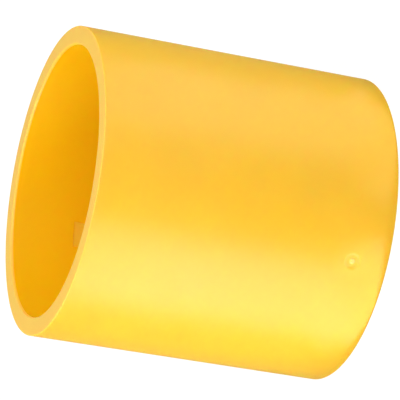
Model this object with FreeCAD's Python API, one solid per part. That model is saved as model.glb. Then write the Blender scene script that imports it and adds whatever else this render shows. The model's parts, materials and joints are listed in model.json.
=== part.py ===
import FreeCAD, Part
import math
import os

# Plain coupling sleeve for 50 mm rigid conduit, moulded in one piece.
# Millimetres. The sleeve stands on one end, +Z along its bore, the origin in the middle of that end.
# The small gate mark on the outside faces -Y.

# Driving dimensions: the conduit and the two sockets that take it
CONDUIT_DIAMETER = 50.0
SOCKET_CLEARANCE = 0.20
SOCKET_DEPTH = 26.8
LEAD_IN_WIDTH = 0.20
LEAD_IN_DEPTH = 0.30

# Driving dimensions: the wall, and the stop ring between the sockets
WALL = 3.40
STOP_THICKNESS = 2.40
STOP_HEIGHT = 1.50
STOP_FACE_DRAFT = 0.12
OUTER_EDGE_RADIUS = 0.30
STOP_CREST_BEVEL = 0.40

# Driving dimensions: the trimmed gate outside, a dished ring round a broken-off stub
GATE_HEIGHT = 6.80
GATE_ANGLE = -90.0
GATE_DISH_DIAMETER = 3.20
GATE_DISH_DEPTH = 0.20
GATE_DISH_FLOOR = 2.00
GATE_STUB_DIAMETER = 1.20
GATE_STUB_TIP = 0.80
GATE_STUB_BELOW_SURFACE = 0.05

# Driving dimensions: the shallow panel that a core insert leaves on the upper socket's wall
PANEL_FROM_MOUTH = 12.3
PANEL_LENGTH = 8.0
PANEL_WIDTH = 5.3
PANEL_DEPTH = 0.12
PANEL_ANGLE = 122.7

# Sizes that follow
LENGTH = 2.0 * SOCKET_DEPTH + STOP_THICKNESS
SOCKET_RADIUS = CONDUIT_DIAMETER / 2.0 + SOCKET_CLEARANCE
OUTER_RADIUS = SOCKET_RADIUS + WALL
STOP_RADIUS = SOCKET_RADIUS - STOP_HEIGHT
END_FACE_WIDTH = WALL - LEAD_IN_WIDTH


def rounded_outline(corners):
    """Closed face in the XZ plane from (radius, height, corner rounding), with tangent arcs."""
    edges = []
    arc_ends = []
    count = len(corners)
    for index in range(count):
        r, z, rounding = corners[index]
        here = FreeCAD.Vector(r, 0, z)
        if rounding <= 0:
            arc_ends.append((here, here))
            continue
        before = FreeCAD.Vector(corners[index - 1][0], 0, corners[index - 1][1]) - here
        after = FreeCAD.Vector(corners[(index + 1) % count][0], 0, corners[(index + 1) % count][1]) - here
        half_turn = before.getAngle(after) / 2.0
        before.normalize()
        after.normalize()
        setback = rounding / math.tan(half_turn)
        middle = before + after
        middle.normalize()
        start = here + before * setback
        end = here + after * setback
        crown = here + middle * (rounding / math.sin(half_turn) - rounding)
        edges.append(Part.Arc(start, crown, end).toShape())
        arc_ends.append((start, end))
    for index in range(count):
        start = arc_ends[index][1]
        end = arc_ends[(index + 1) % count][0]
        edges.append(Part.LineSegment(start, end).toShape())
    return Part.Face(Part.Wire(Part.__sortEdges__(edges)))


def sleeve_body():
    """The turned form of the sleeve: wall, end faces, lead-ins, sockets and stop ring."""
    edge_radius = min(OUTER_EDGE_RADIUS, 0.45 * END_FACE_WIDTH)
    crest_bevel = min(STOP_CREST_BEVEL, 0.4 * STOP_HEIGHT, 0.4 * (STOP_THICKNESS - 2.0 * STOP_FACE_DRAFT))
    lower_half = [
        (OUTER_RADIUS, 0.0, edge_radius),
        (SOCKET_RADIUS + LEAD_IN_WIDTH, 0.0, 0.0),
        (SOCKET_RADIUS, LEAD_IN_DEPTH, 0.0),
        (SOCKET_RADIUS, SOCKET_DEPTH, 0.0),
        (STOP_RADIUS + crest_bevel, SOCKET_DEPTH + STOP_FACE_DRAFT, 0.0),
        (STOP_RADIUS, SOCKET_DEPTH + STOP_FACE_DRAFT + crest_bevel, 0.0),
    ]
    upper_half = [(r, LENGTH - z, rounding) for r, z, rounding in reversed(lower_half)]
    half_section = rounded_outline(lower_half + upper_half)
    return half_section.revolve(FreeCAD.Vector(0, 0, 0), FreeCAD.Vector(0, 0, 1), 360)


def turned_to(shape, angle, height):
    """The shape, made on the +X side at height 0, turned about the bore and lifted to its place."""
    shape.rotate(FreeCAD.Vector(0, 0, 0), FreeCAD.Vector(0, 0, 1), angle)
    shape.translate(FreeCAD.Vector(0, 0, height))
    return shape


def gate_dish():
    """Cutter for the dished ring, from the dish's floor out past the wall."""
    slope = (GATE_DISH_DIAMETER - GATE_DISH_FLOOR) / 2.0 / GATE_DISH_DEPTH
    reach = GATE_DISH_DEPTH + OUTER_RADIUS - math.sqrt(OUTER_RADIUS ** 2 - (GATE_DISH_DIAMETER / 2.0) ** 2)
    floor = FreeCAD.Vector(OUTER_RADIUS - GATE_DISH_DEPTH, 0, 0)
    cutter = Part.makeCone(
        GATE_DISH_FLOOR / 2.0, GATE_DISH_FLOOR / 2.0 + slope * reach, reach, floor, FreeCAD.Vector(1, 0, 0)
    )
    return turned_to(cutter, GATE_ANGLE, GATE_HEIGHT)


def gate_stub():
    """The broken-off stub, rooted in the wall and ending just below the outer surface."""
    root = OUTER_RADIUS - 2.0 * GATE_DISH_DEPTH
    tip = OUTER_RADIUS - GATE_STUB_BELOW_SURFACE
    stub = Part.makeCone(
        GATE_STUB_DIAMETER / 2.0,
        GATE_STUB_TIP / 2.0,
        tip - root,
        FreeCAD.Vector(root, 0, 0),
        FreeCAD.Vector(1, 0, 0),
    )
    return turned_to(stub, GATE_ANGLE, GATE_HEIGHT)


def insert_panel():
    """Cutter for the shallow panel, a piece of a ring that reaches PANEL_DEPTH into the wall."""
    sweep = math.degrees(PANEL_WIDTH / SOCKET_RADIUS)
    ring = Part.makeCylinder(
        SOCKET_RADIUS + PANEL_DEPTH, PANEL_LENGTH, FreeCAD.Vector(0, 0, 0), FreeCAD.Vector(0, 0, 1), sweep
    )
    core = Part.makeCylinder(STOP_RADIUS, PANEL_LENGTH)
    return turned_to(ring.cut(core), PANEL_ANGLE - sweep / 2.0, LENGTH - PANEL_FROM_MOUTH - PANEL_LENGTH)


def coupling_sleeve():
    """The whole moulding as one solid."""
    body = sleeve_body().cut(gate_dish()).fuse(gate_stub())
    return body.cut(insert_panel()).removeSplitter()


os.makedirs("parts", exist_ok=True)
coupling_sleeve().exportStep("parts/coupling_sleeve.step")
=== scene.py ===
import json
import math

import bpy
from mathutils import Matrix, Quaternion, Vector


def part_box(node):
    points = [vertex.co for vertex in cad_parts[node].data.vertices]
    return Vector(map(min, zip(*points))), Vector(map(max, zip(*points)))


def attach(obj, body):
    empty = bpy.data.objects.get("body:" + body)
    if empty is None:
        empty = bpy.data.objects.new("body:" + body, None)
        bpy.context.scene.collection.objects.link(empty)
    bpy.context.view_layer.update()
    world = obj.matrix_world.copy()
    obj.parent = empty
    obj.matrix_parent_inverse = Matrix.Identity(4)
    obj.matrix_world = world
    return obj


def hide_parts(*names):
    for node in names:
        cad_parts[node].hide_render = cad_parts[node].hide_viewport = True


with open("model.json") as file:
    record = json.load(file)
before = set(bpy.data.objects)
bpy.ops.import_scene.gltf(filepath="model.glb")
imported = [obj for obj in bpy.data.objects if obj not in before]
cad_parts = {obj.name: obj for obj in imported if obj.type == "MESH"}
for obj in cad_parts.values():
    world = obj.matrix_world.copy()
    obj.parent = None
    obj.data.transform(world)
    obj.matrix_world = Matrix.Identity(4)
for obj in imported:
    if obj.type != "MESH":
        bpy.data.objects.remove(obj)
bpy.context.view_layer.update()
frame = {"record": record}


# The coupling sleeve.
# One injection moulding of rigid PVC: a straight tube wall with rounded outer edges, a lead-in at each
# mouth, and a low stop ring half-way, where the two conduits meet. Sizes here are millimetres.
MM = 0.001
sleeve_low, sleeve_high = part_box("coupling_sleeve")
mounts = {mount["name"]: mount for mount in frame["record"]["mounts"]}
outer_radius = (sleeve_high[0] - sleeve_low[0]) / 2 / MM
length = (sleeve_high[2] - sleeve_low[2]) / MM
socket_radius = mounts["upper_socket"]["dims"]["r_mm"]
lead_in_width = 0.20
lead_in_depth = 0.30
stop_thickness = 2.40
stop_height = 1.50
stop_face_draft = 0.12
outer_edge_radius = 0.15
mouth_edge_radius = 0.12
lead_in_end_radius = 0.40
stop_root_radius = 0.30
stop_crest_radius = 0.40

# The trimmed gate: a dished ring round the stub that is left where the plastic was broken off.
gate_angle = math.radians(-90)
gate_height = 6.80
gate_dish_radius = 1.60
gate_floor_radius = 1.00
gate_dish_depth = 0.20
gate_stub_radius = 0.60
gate_stub_tip_radius = 0.36
gate_stub_below_surface = 0.05

# The shallow panel that an insert in the core leaves on the upper socket's wall.
panel_angle = math.radians(122.7)
panel_top = length - 12.3
panel_length = 8.0
panel_half_width = 2.65
panel_depth = 0.12
panel_edge = 0.30

# The mesh is wide on the plain walls, and fine across the gate and along the panel's edges.
coarse_rows = 1.6
coarse_turn = math.radians(1.5)
fine_rows = 0.1
fine_turn = fine_rows / outer_radius
gate_margin = 0.2
panel_margin = 0.1
shortest_wall = 2.0
same_radius = 0.001


def rounded(corners, arc_steps=8):
    """Points of a closed outline through (radius, height, rounding) corners, with tangent arcs."""
    points = []
    for index, (r, z, rounding) in enumerate(corners):
        here = Vector((r, z))
        if rounding == 0:
            points.append(here)
            continue
        before = (Vector(corners[index - 1][:2]) - here).normalized()
        after = (Vector(corners[(index + 1) % len(corners)][:2]) - here).normalized()
        half_turn = before.angle(after) / 2
        centre = here + (before + after).normalized() * rounding / math.sin(half_turn)
        start = here + before * rounding / math.tan(half_turn) - centre
        end = here + after * rounding / math.tan(half_turn) - centre
        turn = start.angle_signed(end)
        for step in range(arc_steps + 1):
            spoke = start.copy()
            spoke.rotate(Matrix.Rotation(-turn * step / arc_steps, 2))
            points.append(centre + spoke)
    return points


def gathered(start, stop, coarse, fine, places):
    """Values from start to stop, a coarse step apart, and a fine step apart inside the places."""
    values = [start]
    while values[-1] < stop - fine / 2:
        here = values[-1]
        inside = any(low - fine / 2 < here < high for low, high in places)
        ahead = [low - here for low, high in places if low > here + fine / 2]
        step = fine if inside else min([coarse] + ahead)
        values.append(min(here + step, stop))
    return values


def eased(value, low, high):
    """0 below low, 1 above high, and a smooth rise between them."""
    share = min(max((value - low) / (high - low), 0), 1)
    return share * share * (3 - 2 * share)


def gate_relief(across, along):
    """How far the outer wall is sunk at a point this far from the gate's middle."""
    distance = math.hypot(across, along)
    dish = gate_dish_depth * (1 - eased(distance, gate_floor_radius, gate_dish_radius))
    stub_height = gate_dish_depth - gate_stub_below_surface
    stub = stub_height * (1 - eased(distance, gate_stub_tip_radius, gate_stub_radius))
    return dish - stub


def panel_share(across, along):
    """1 on the panel's floor, 0 off the panel, at a point this far from its middle."""
    side = 1 - eased(abs(across), panel_half_width - panel_edge, panel_half_width)
    end = 1 - eased(abs(along), panel_length / 2 - panel_edge, panel_length / 2)
    return side * end


stop_low = (length - stop_thickness) / 2
half_section = [
    (outer_radius, 0, outer_edge_radius),
    (socket_radius + lead_in_width, 0, mouth_edge_radius),
    (socket_radius, lead_in_depth, lead_in_end_radius),
    (socket_radius, stop_low, stop_root_radius),
    (socket_radius - stop_height, stop_low + stop_face_draft, stop_crest_radius),
]
section = half_section + [(r, length - z, rounding) for r, z, rounding in reversed(half_section)]
outline = rounded(section)

gate_half = gate_dish_radius + gate_margin
gate_rows = (gate_height - gate_half, gate_height + gate_half)
panel_foot = panel_top - panel_length
panel_rows = [
    (panel_top - panel_edge - panel_margin, panel_top + panel_margin),
    (panel_foot - panel_margin, panel_foot + panel_edge + panel_margin),
]
profile = []
for index, point in enumerate(outline):
    following = outline[(index + 1) % len(outline)]
    profile.append((point.x, point.y))
    run = following.y - point.y
    if abs(run) < shortest_wall or abs(following.x - point.x) > same_radius:
        continue
    places = [gate_rows] if point.x > (socket_radius + outer_radius) / 2 else panel_rows
    low, high = sorted((point.y, following.y))
    places_here = [place for place in places if low < place[0] < high]
    rows = gathered(low, high, coarse_rows, fine_rows, places_here)[1:-1]
    profile.extend((point.x, row) for row in (rows if run > 0 else reversed(rows)))

gate_reach = gate_half / outer_radius
panel_reach = panel_half_width / socket_radius
panel_edge_turn = panel_edge / socket_radius
turn_places = [
    (gate_angle - gate_reach, gate_angle + gate_reach),
    (panel_angle - panel_reach - fine_turn, panel_angle - panel_reach + panel_edge_turn + fine_turn),
    (panel_angle + panel_reach - panel_edge_turn - fine_turn, panel_angle + panel_reach + fine_turn),
]
angles = gathered(-math.pi, math.pi, coarse_turn, fine_turn, turn_places)[:-1]

vertices = []
on_panel = []
for angle in angles:
    for r, z in profile:
        share = 0.0
        if r > outer_radius - same_radius:
            r -= gate_relief((angle - gate_angle) * outer_radius, z - gate_height)
        elif abs(r - socket_radius) < same_radius and z > length / 2:
            share = panel_share((angle - panel_angle) * socket_radius, z - panel_top + panel_length / 2)
            r += panel_depth * share
        vertices.append((r * math.cos(angle) * MM, r * math.sin(angle) * MM, z * MM))
        on_panel.append(share)

around = len(angles)
rows_in_profile = len(profile)
faces = []
for turn in range(around):
    for row in range(rows_in_profile):
        here = turn * rows_in_profile + row
        above = turn * rows_in_profile + (row + 1) % rows_in_profile
        next_turn = (turn + 1) % around * rows_in_profile
        faces.append((here, above, next_turn + (row + 1) % rows_in_profile, next_turn + row))
sleeve_mesh = bpy.data.meshes.new("coupling_sleeve_moulding")
sleeve_mesh.from_pydata(vertices, [], faces)
sleeve_mesh.validate()
sleeve_mesh.shade_smooth()
sleeve_mesh.attributes.new("on_panel", "FLOAT", "POINT").data.foreach_set("value", on_panel)
sleeve = bpy.data.objects.new("coupling_sleeve_moulding", sleeve_mesh)
bpy.context.scene.collection.objects.link(sleeve)


def linear(hex_colour):
    """Linear colour with alpha from an sRGB hex string."""
    channels = [int(hex_colour[i:i + 2], 16) / 255 for i in (1, 3, 5)]
    return [c / 12.92 if c <= 0.04045 else ((c + 0.055) / 1.055) ** 2.4 for c in channels] + [1]


def add(tree, kind, links=None, **settings):
    """Adds a node with its settings: sockets by name with spaces as _, or attributes, and its links."""
    made = tree.nodes.new(kind)
    for name, value in settings.items():
        socket = made.inputs.get(name.replace("_", " "))
        if socket is not None and not hasattr(made, name):
            socket.default_value = value
        else:
            setattr(made, name, value)
    for name, output in (links or {}).items():
        tree.links.new(output, made.inputs[name])
    return made


# The plastic is rigid PVC, pigmented golden yellow and slightly translucent. Light goes about a
# millimetre into the wall and softens its edges, and the bore turns a deep orange. Its skin is satin, with
# a pale, nearly white sheen.
pvc = bpy.data.materials.new("injection moulded yellow PVC")
pvc.use_nodes = True
tree = pvc.node_tree
tree.nodes.clear()
place = add(tree, "ShaderNodeTexCoord").outputs["Object"]

# The pigment isn't mixed in quite evenly, so the yellow has soft clouds about 12 mm across.
cloud_size = 12 * MM
clouds = add(tree, "ShaderNodeTexNoise", {"Vector": place}, Scale=1 / cloud_size, Detail=2.0, Roughness=0.5)
cloud_share = add(
    tree, "ShaderNodeMapRange", {"Value": clouds.outputs["Fac"]}, From_Min=0.35, From_Max=0.65,
)
yellow = add(tree, "ShaderNodeMix", {"Factor": cloud_share.outputs["Result"]}, data_type="RGBA")
yellow.inputs["A"].default_value = linear("#F0BD07")
yellow.inputs["B"].default_value = linear("#F3C007")

# Round the gate the plastic is blushed a little paler, and the broken end of the stub is whitened.
gate_middle = (
    outer_radius * MM * math.cos(gate_angle), outer_radius * MM * math.sin(gate_angle), gate_height * MM,
)
from_gate = add(tree, "ShaderNodeVectorMath", {0: place}, operation="DISTANCE")
from_gate.inputs[1].default_value = gate_middle
blush_reach = 4.5 * MM
blush_at_gate = 0.35
stub_whiteness = 0.4
blush = add(
    tree, "ShaderNodeMapRange", {"Value": from_gate.outputs["Value"]},
    interpolation_type="SMOOTHSTEP", From_Max=blush_reach, To_Min=blush_at_gate, To_Max=0.0,
)
blushed = add(
    tree, "ShaderNodeMix", {"Factor": blush.outputs["Result"], "A": yellow.outputs["Result"]},
    data_type="RGBA",
)
blushed.inputs["B"].default_value = linear("#FAD04A")
whitened = add(
    tree, "ShaderNodeMapRange", {"Value": from_gate.outputs["Value"]},
    interpolation_type="SMOOTHSTEP", From_Min=gate_stub_tip_radius * MM, From_Max=gate_stub_radius * MM,
    To_Min=stub_whiteness, To_Max=0.0,
)
colour = add(
    tree, "ShaderNodeMix", {"Factor": whitened.outputs["Result"], "A": blushed.outputs["Result"]},
    data_type="RGBA",
)
colour.inputs["B"].default_value = linear("#FBE58C")

# The skin copies the mould's blasted steel: a grain of about 0.05 mm, drawn at 0.3 mm so that it shows.
grain_size = 0.3 * MM
grain = add(tree, "ShaderNodeTexNoise", {"Vector": place}, Scale=1 / grain_size, Detail=1.0)
grain_bump = add(
    tree, "ShaderNodeBump", {"Height": grain.outputs["Fac"]}, Strength=0.25, Distance=0.01 * MM,
)
# Patches of the skin some millimetres across are slightly smoother or duller.
patch_size = 5 * MM
smoothest_skin = 0.33
dullest_skin = 0.40
patches = add(tree, "ShaderNodeTexNoise", {"Vector": place}, Scale=1 / patch_size, Detail=3.0)
dullness = add(
    tree, "ShaderNodeMapRange", {"Value": patches.outputs["Fac"]},
    From_Min=0.3, From_Max=0.7, To_Min=smoothest_skin, To_Max=dullest_skin,
)
# The bore copies a polished core, so it is glossier and mirrors its own orange wall.
bore_roughness = 0.22
bore_finish_full = (socket_radius + 0.15) * MM
bore_finish_gone = (socket_radius + 0.25) * MM
across_axis = add(tree, "ShaderNodeVectorMath", {0: place}, operation="MULTIPLY")
across_axis.inputs[1].default_value = (1, 1, 0)
from_axis = add(tree, "ShaderNodeVectorMath", {0: across_axis.outputs["Vector"]}, operation="LENGTH")
in_bore = add(
    tree, "ShaderNodeMapRange", {"Value": from_axis.outputs["Value"]},
    From_Min=bore_finish_full, From_Max=bore_finish_gone, To_Min=1.0, To_Max=0.0,
)
polished = add(
    tree, "ShaderNodeMix", {"Factor": in_bore.outputs["Result"], "A": dullness.outputs["Result"]},
    B=bore_roughness,
)
# The end faces copy the flat shut-off steel, which is left duller than the rest. The small edges beside
# them are as dull.
end_roughness = 0.58
end_finish_gone = (length / 2 - 0.50) * MM
end_finish_full = (length / 2 - 0.30) * MM
height = add(tree, "ShaderNodeSeparateXYZ", {"Vector": place})
from_middle = add(tree, "ShaderNodeMath", {0: height.outputs["Z"]}, operation="SUBTRACT")
from_middle.inputs[1].default_value = length / 2 * MM
to_either_end = add(tree, "ShaderNodeMath", {0: from_middle.outputs[0]}, operation="ABSOLUTE")
on_end_face = add(
    tree, "ShaderNodeMapRange", {"Value": to_either_end.outputs[0]},
    From_Min=end_finish_gone, From_Max=end_finish_full,
)
with_ends = add(
    tree, "ShaderNodeMix", {"Factor": on_end_face.outputs["Result"], "A": polished.outputs["Result"]},
    B=end_roughness,
)
# The panel copies a blasted insert, and looks hazier than the wall round it. Its colour is also painted
# slightly paler than the wall round it: a painted sheen, for the white light that its duller face scatters.
panel_roughness = 0.42
panel_paleness = 0.25
panel = add(tree, "ShaderNodeAttribute", attribute_name="on_panel")
hazy = add(
    tree, "ShaderNodeMix", {"Factor": panel.outputs["Fac"], "A": with_ends.outputs["Result"]},
    B=panel_roughness,
)
panel_painted_sheen = add(tree, "ShaderNodeMath", {0: panel.outputs["Fac"]}, operation="MULTIPLY")
panel_painted_sheen.inputs[1].default_value = panel_paleness
# The yellow is painted a little brighter in the bore: painted light, for light that comes through the wall
# from outside.
bore_painted_lighter = add(
    tree, "ShaderNodeMix", {"Factor": in_bore.outputs["Result"], "A": colour.outputs["Result"]},
    data_type="RGBA",
)
bore_painted_lighter.inputs["B"].default_value = linear("#FFC508")
# Painted sheen: the panel's face is mixed towards a pale yellow.
with_panel = add(
    tree, "ShaderNodeMix", {"Factor": panel_painted_sheen.outputs[0], "A": bore_painted_lighter.outputs["Result"]},
    data_type="RGBA",
)
with_panel.inputs["B"].default_value = linear("#FFCE30")
# Red light goes furthest into it and blue hardly at all. The specular level is above PVC's usual 0.5, to
# match the white sheen.
light_depth = 0.9 * MM
surface = add(
    tree,
    "ShaderNodeBsdfPrincipled",
    {
        "Base Color": with_panel.outputs["Result"],
        "Roughness": hazy.outputs["Result"],
        "Normal": grain_bump.outputs["Normal"],
    },
    subsurface_method="RANDOM_WALK",
    IOR=1.53,
    Specular_IOR_Level=1.0,
    Subsurface_Weight=1.0,
    Subsurface_Radius=(1.0, 0.4, 0.04),
    Subsurface_Scale=light_depth,
)
add(tree, "ShaderNodeOutputMaterial", {"Surface": surface.outputs["BSDF"]})
sleeve_mesh.materials.append(pvc)

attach(sleeve, "root")
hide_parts("coupling_sleeve")


# The table that the sleeve stands on.
# A matt board, painted a middle grey. The camera sees it glow just enough to look white where it is open
# to the light, so the sleeve's shadow stays on it. It lights the sleeve softly from below.
board_half = 1.2
board_drop = 0.02 * MM
board_mesh = bpy.data.meshes.new("matt_board")
board_mesh.from_pydata(
    [(x * board_half, y * board_half, -board_drop) for x, y in ((-1, -1), (1, -1), (1, 1), (-1, 1))],
    [],
    [(0, 1, 2, 3)],
)
board = bpy.data.objects.new("matt_board", board_mesh)
bpy.context.scene.collection.objects.link(board)

painted_board = bpy.data.materials.new("matt painted board")
painted_board.use_nodes = True
painted_board.cycles.emission_sampling = "NONE"
tree = painted_board.node_tree
tree.nodes.clear()
board_colour = linear("#808080")
# Its brightness, where 1 is white: what the lamps give it, what it glows in the sleeve's gloss, which
# shows no white floor in the photograph, and what it glows as soft light.
board_lit = 0.13
board_in_gloss = 0.05
board_as_light = 0.52
rays = add(tree, "ShaderNodeLightPath")
seen = add(
    tree, "ShaderNodeMath", {0: rays.outputs["Is Camera Ray"], 1: rays.outputs["Is Transmission Ray"]},
    operation="MAXIMUM",
)
glow_seen = add(tree, "ShaderNodeMath", {0: seen.outputs[0]}, operation="MULTIPLY")
glow_seen.inputs[1].default_value = 1 - board_lit
glow_in_gloss = add(
    tree, "ShaderNodeMath", {0: rays.outputs["Is Glossy Ray"], 2: glow_seen.outputs[0]},
    operation="MULTIPLY_ADD",
)
glow_in_gloss.inputs[1].default_value = board_in_gloss
glow_as_light = add(
    tree, "ShaderNodeMath", {0: rays.outputs["Is Diffuse Ray"], 2: glow_in_gloss.outputs[0]},
    operation="MULTIPLY_ADD",
)
glow_as_light.inputs[1].default_value = board_as_light
matt = add(tree, "ShaderNodeBsdfDiffuse")
matt.inputs["Color"].default_value = board_colour
glow = add(tree, "ShaderNodeEmission", {"Strength": glow_as_light.outputs[0]})
both = add(tree, "ShaderNodeAddShader", {0: matt.outputs[0], 1: glow.outputs[0]})
add(tree, "ShaderNodeOutputMaterial", {"Surface": both.outputs[0]})
board_mesh.materials.append(painted_board)


# The studio's light.
# A white room that lights the sleeve at about half strength, six soft boxes round and above it, and three
# rows of thin panels that lie fanned out on the table and give its sides their pale highlights.
room_fill = 0.52
world = bpy.data.worlds.new("white room")
bpy.context.scene.world = world
world.use_nodes = True
tree = world.node_tree
tree.nodes.clear()
rays = add(tree, "ShaderNodeLightPath")
seen = add(
    tree, "ShaderNodeMath", {0: rays.outputs["Is Camera Ray"], 1: rays.outputs["Is Transmission Ray"]},
    operation="MAXIMUM",
)
mirrored = add(
    tree, "ShaderNodeMath", {0: seen.outputs[0], 1: rays.outputs["Is Glossy Ray"]}, operation="MAXIMUM",
)
level = add(tree, "ShaderNodeMapRange", {"Value": mirrored.outputs[0]}, To_Min=room_fill, To_Max=1.0)
room = add(tree, "ShaderNodeBackground", {"Strength": level.outputs["Result"]})
add(tree, "ShaderNodeOutputWorld", {"Surface": room.outputs[0]})


def area_light(name, size, watts):
    """Rectangular area light, still to be placed."""
    data = bpy.data.lights.new(name, "AREA")
    data.shape = "RECTANGLE"
    data.size = size[0]
    data.size_y = size[1]
    data.energy = watts
    lamp = bpy.data.objects.new(name, data)
    lamp.visible_camera = False
    bpy.context.scene.collection.objects.link(lamp)
    return lamp


def soft_box(name, azimuth, elevation, distance, size, watts):
    """Light that faces the middle of the sleeve's foot. Degrees round from +X and up, and metres."""
    direction = Vector((
        math.cos(math.radians(azimuth)) * math.cos(math.radians(elevation)),
        math.sin(math.radians(azimuth)) * math.cos(math.radians(elevation)),
        math.sin(math.radians(elevation)),
    ))
    lamp = area_light(name, size, watts)
    lamp.location = direction * distance
    lamp.rotation_euler = direction.to_track_quat("Z", "Y").to_euler()
    return lamp


def table_fan(name, wall_azimuth, azimuth, brightness, spread=1.0):
    """Row of lights that lies on the table and widens away from the wall. Brightness 1 is white."""
    foot = Vector((math.cos(math.radians(wall_azimuth)), math.sin(math.radians(wall_azimuth)), 0))
    lift = Vector((0, 0, 0.3 * MM))
    # The first one lies square to the wall, so that no dark wedge is left between them.
    for number, (turn, inner, outer, width, share) in enumerate((
        (wall_azimuth, 0.000, 0.012, 0.030, 0.70),
        (azimuth, 0.012, 0.036, 0.040, 0.85),
        (azimuth, 0.036, 0.090, 0.078, 0.95),
        (azimuth, 0.090, 0.200, 0.165, 1.50),
    )):
        out = Vector((math.cos(math.radians(turn)), math.sin(math.radians(turn)), 0))
        watts = brightness * share * math.pi * (outer - inner) * width * spread
        lamp = area_light(name + "_" + str(number + 1), (width * spread, outer - inner), watts)
        lamp.location = foot * outer_radius * MM + out * (inner + outer) / 2 + lift
        lamp.rotation_euler = (math.pi, 0, math.radians(turn) + math.pi / 2)


soft_box("soft_box_front_right", -39.5, 28, 0.6, (0.4, 0.3), 1.55)
soft_box("soft_box_high_left", -139.5, 50, 0.6, (0.4, 0.4), 1.32)
soft_box("soft_box_low_left", -154.5, 15, 0.6, (0.3, 0.2), 1.30)
soft_box("soft_box_side_right", -13.5, 14, 0.5, (0.3, 0.2), 0.10)
soft_box("soft_box_overhead", -79.5, 75, 0.6, (0.4, 0.4), 0.48)
table_fan("table_fan_left", -106.5, -135.0, 1.50)
table_fan("table_fan_right", -39.5, 0.5, 0.58)
table_fan("table_fan_behind", 100.5, 100.5, 0.80, spread=0.5)
# The box behind lights the back of the sleeve. The flat face of the mouth would mirror it straight at
# the camera, so it is kept out of mirror images.
soft_box_behind = soft_box("soft_box_behind", 100.5, 8, 0.6, (0.4, 0.2), 1.00)
soft_box_behind.visible_glossy = False


# The camera.
# A long lens a little above the upper mouth, turned on its side as the photograph is.
camera_data = bpy.data.cameras.new("camera")
camera_data.sensor_width = 36
camera_data.lens = 270
camera_data.clip_start = 0.01
camera = bpy.data.objects.new("camera", camera_data)
camera_azimuth = math.radians(-79.5)
camera_elevation = math.radians(18.655)
camera_roll = math.radians(80.256)
camera_range = 0.5553
aim = Vector((0.00097, 0.00018, 0.02755))
back = Vector((
    math.cos(camera_azimuth) * math.cos(camera_elevation),
    math.sin(camera_azimuth) * math.cos(camera_elevation),
    math.sin(camera_elevation),
))
camera.location = aim + back * camera_range
upright = back.to_track_quat("Z", "Y")
camera.rotation_mode = "QUATERNION"
camera.rotation_quaternion = Quaternion(back, -camera_roll) @ upright
bpy.context.scene.collection.objects.link(camera)
bpy.context.scene.camera = camera

bpy.context.scene.view_settings.view_transform = "Standard"
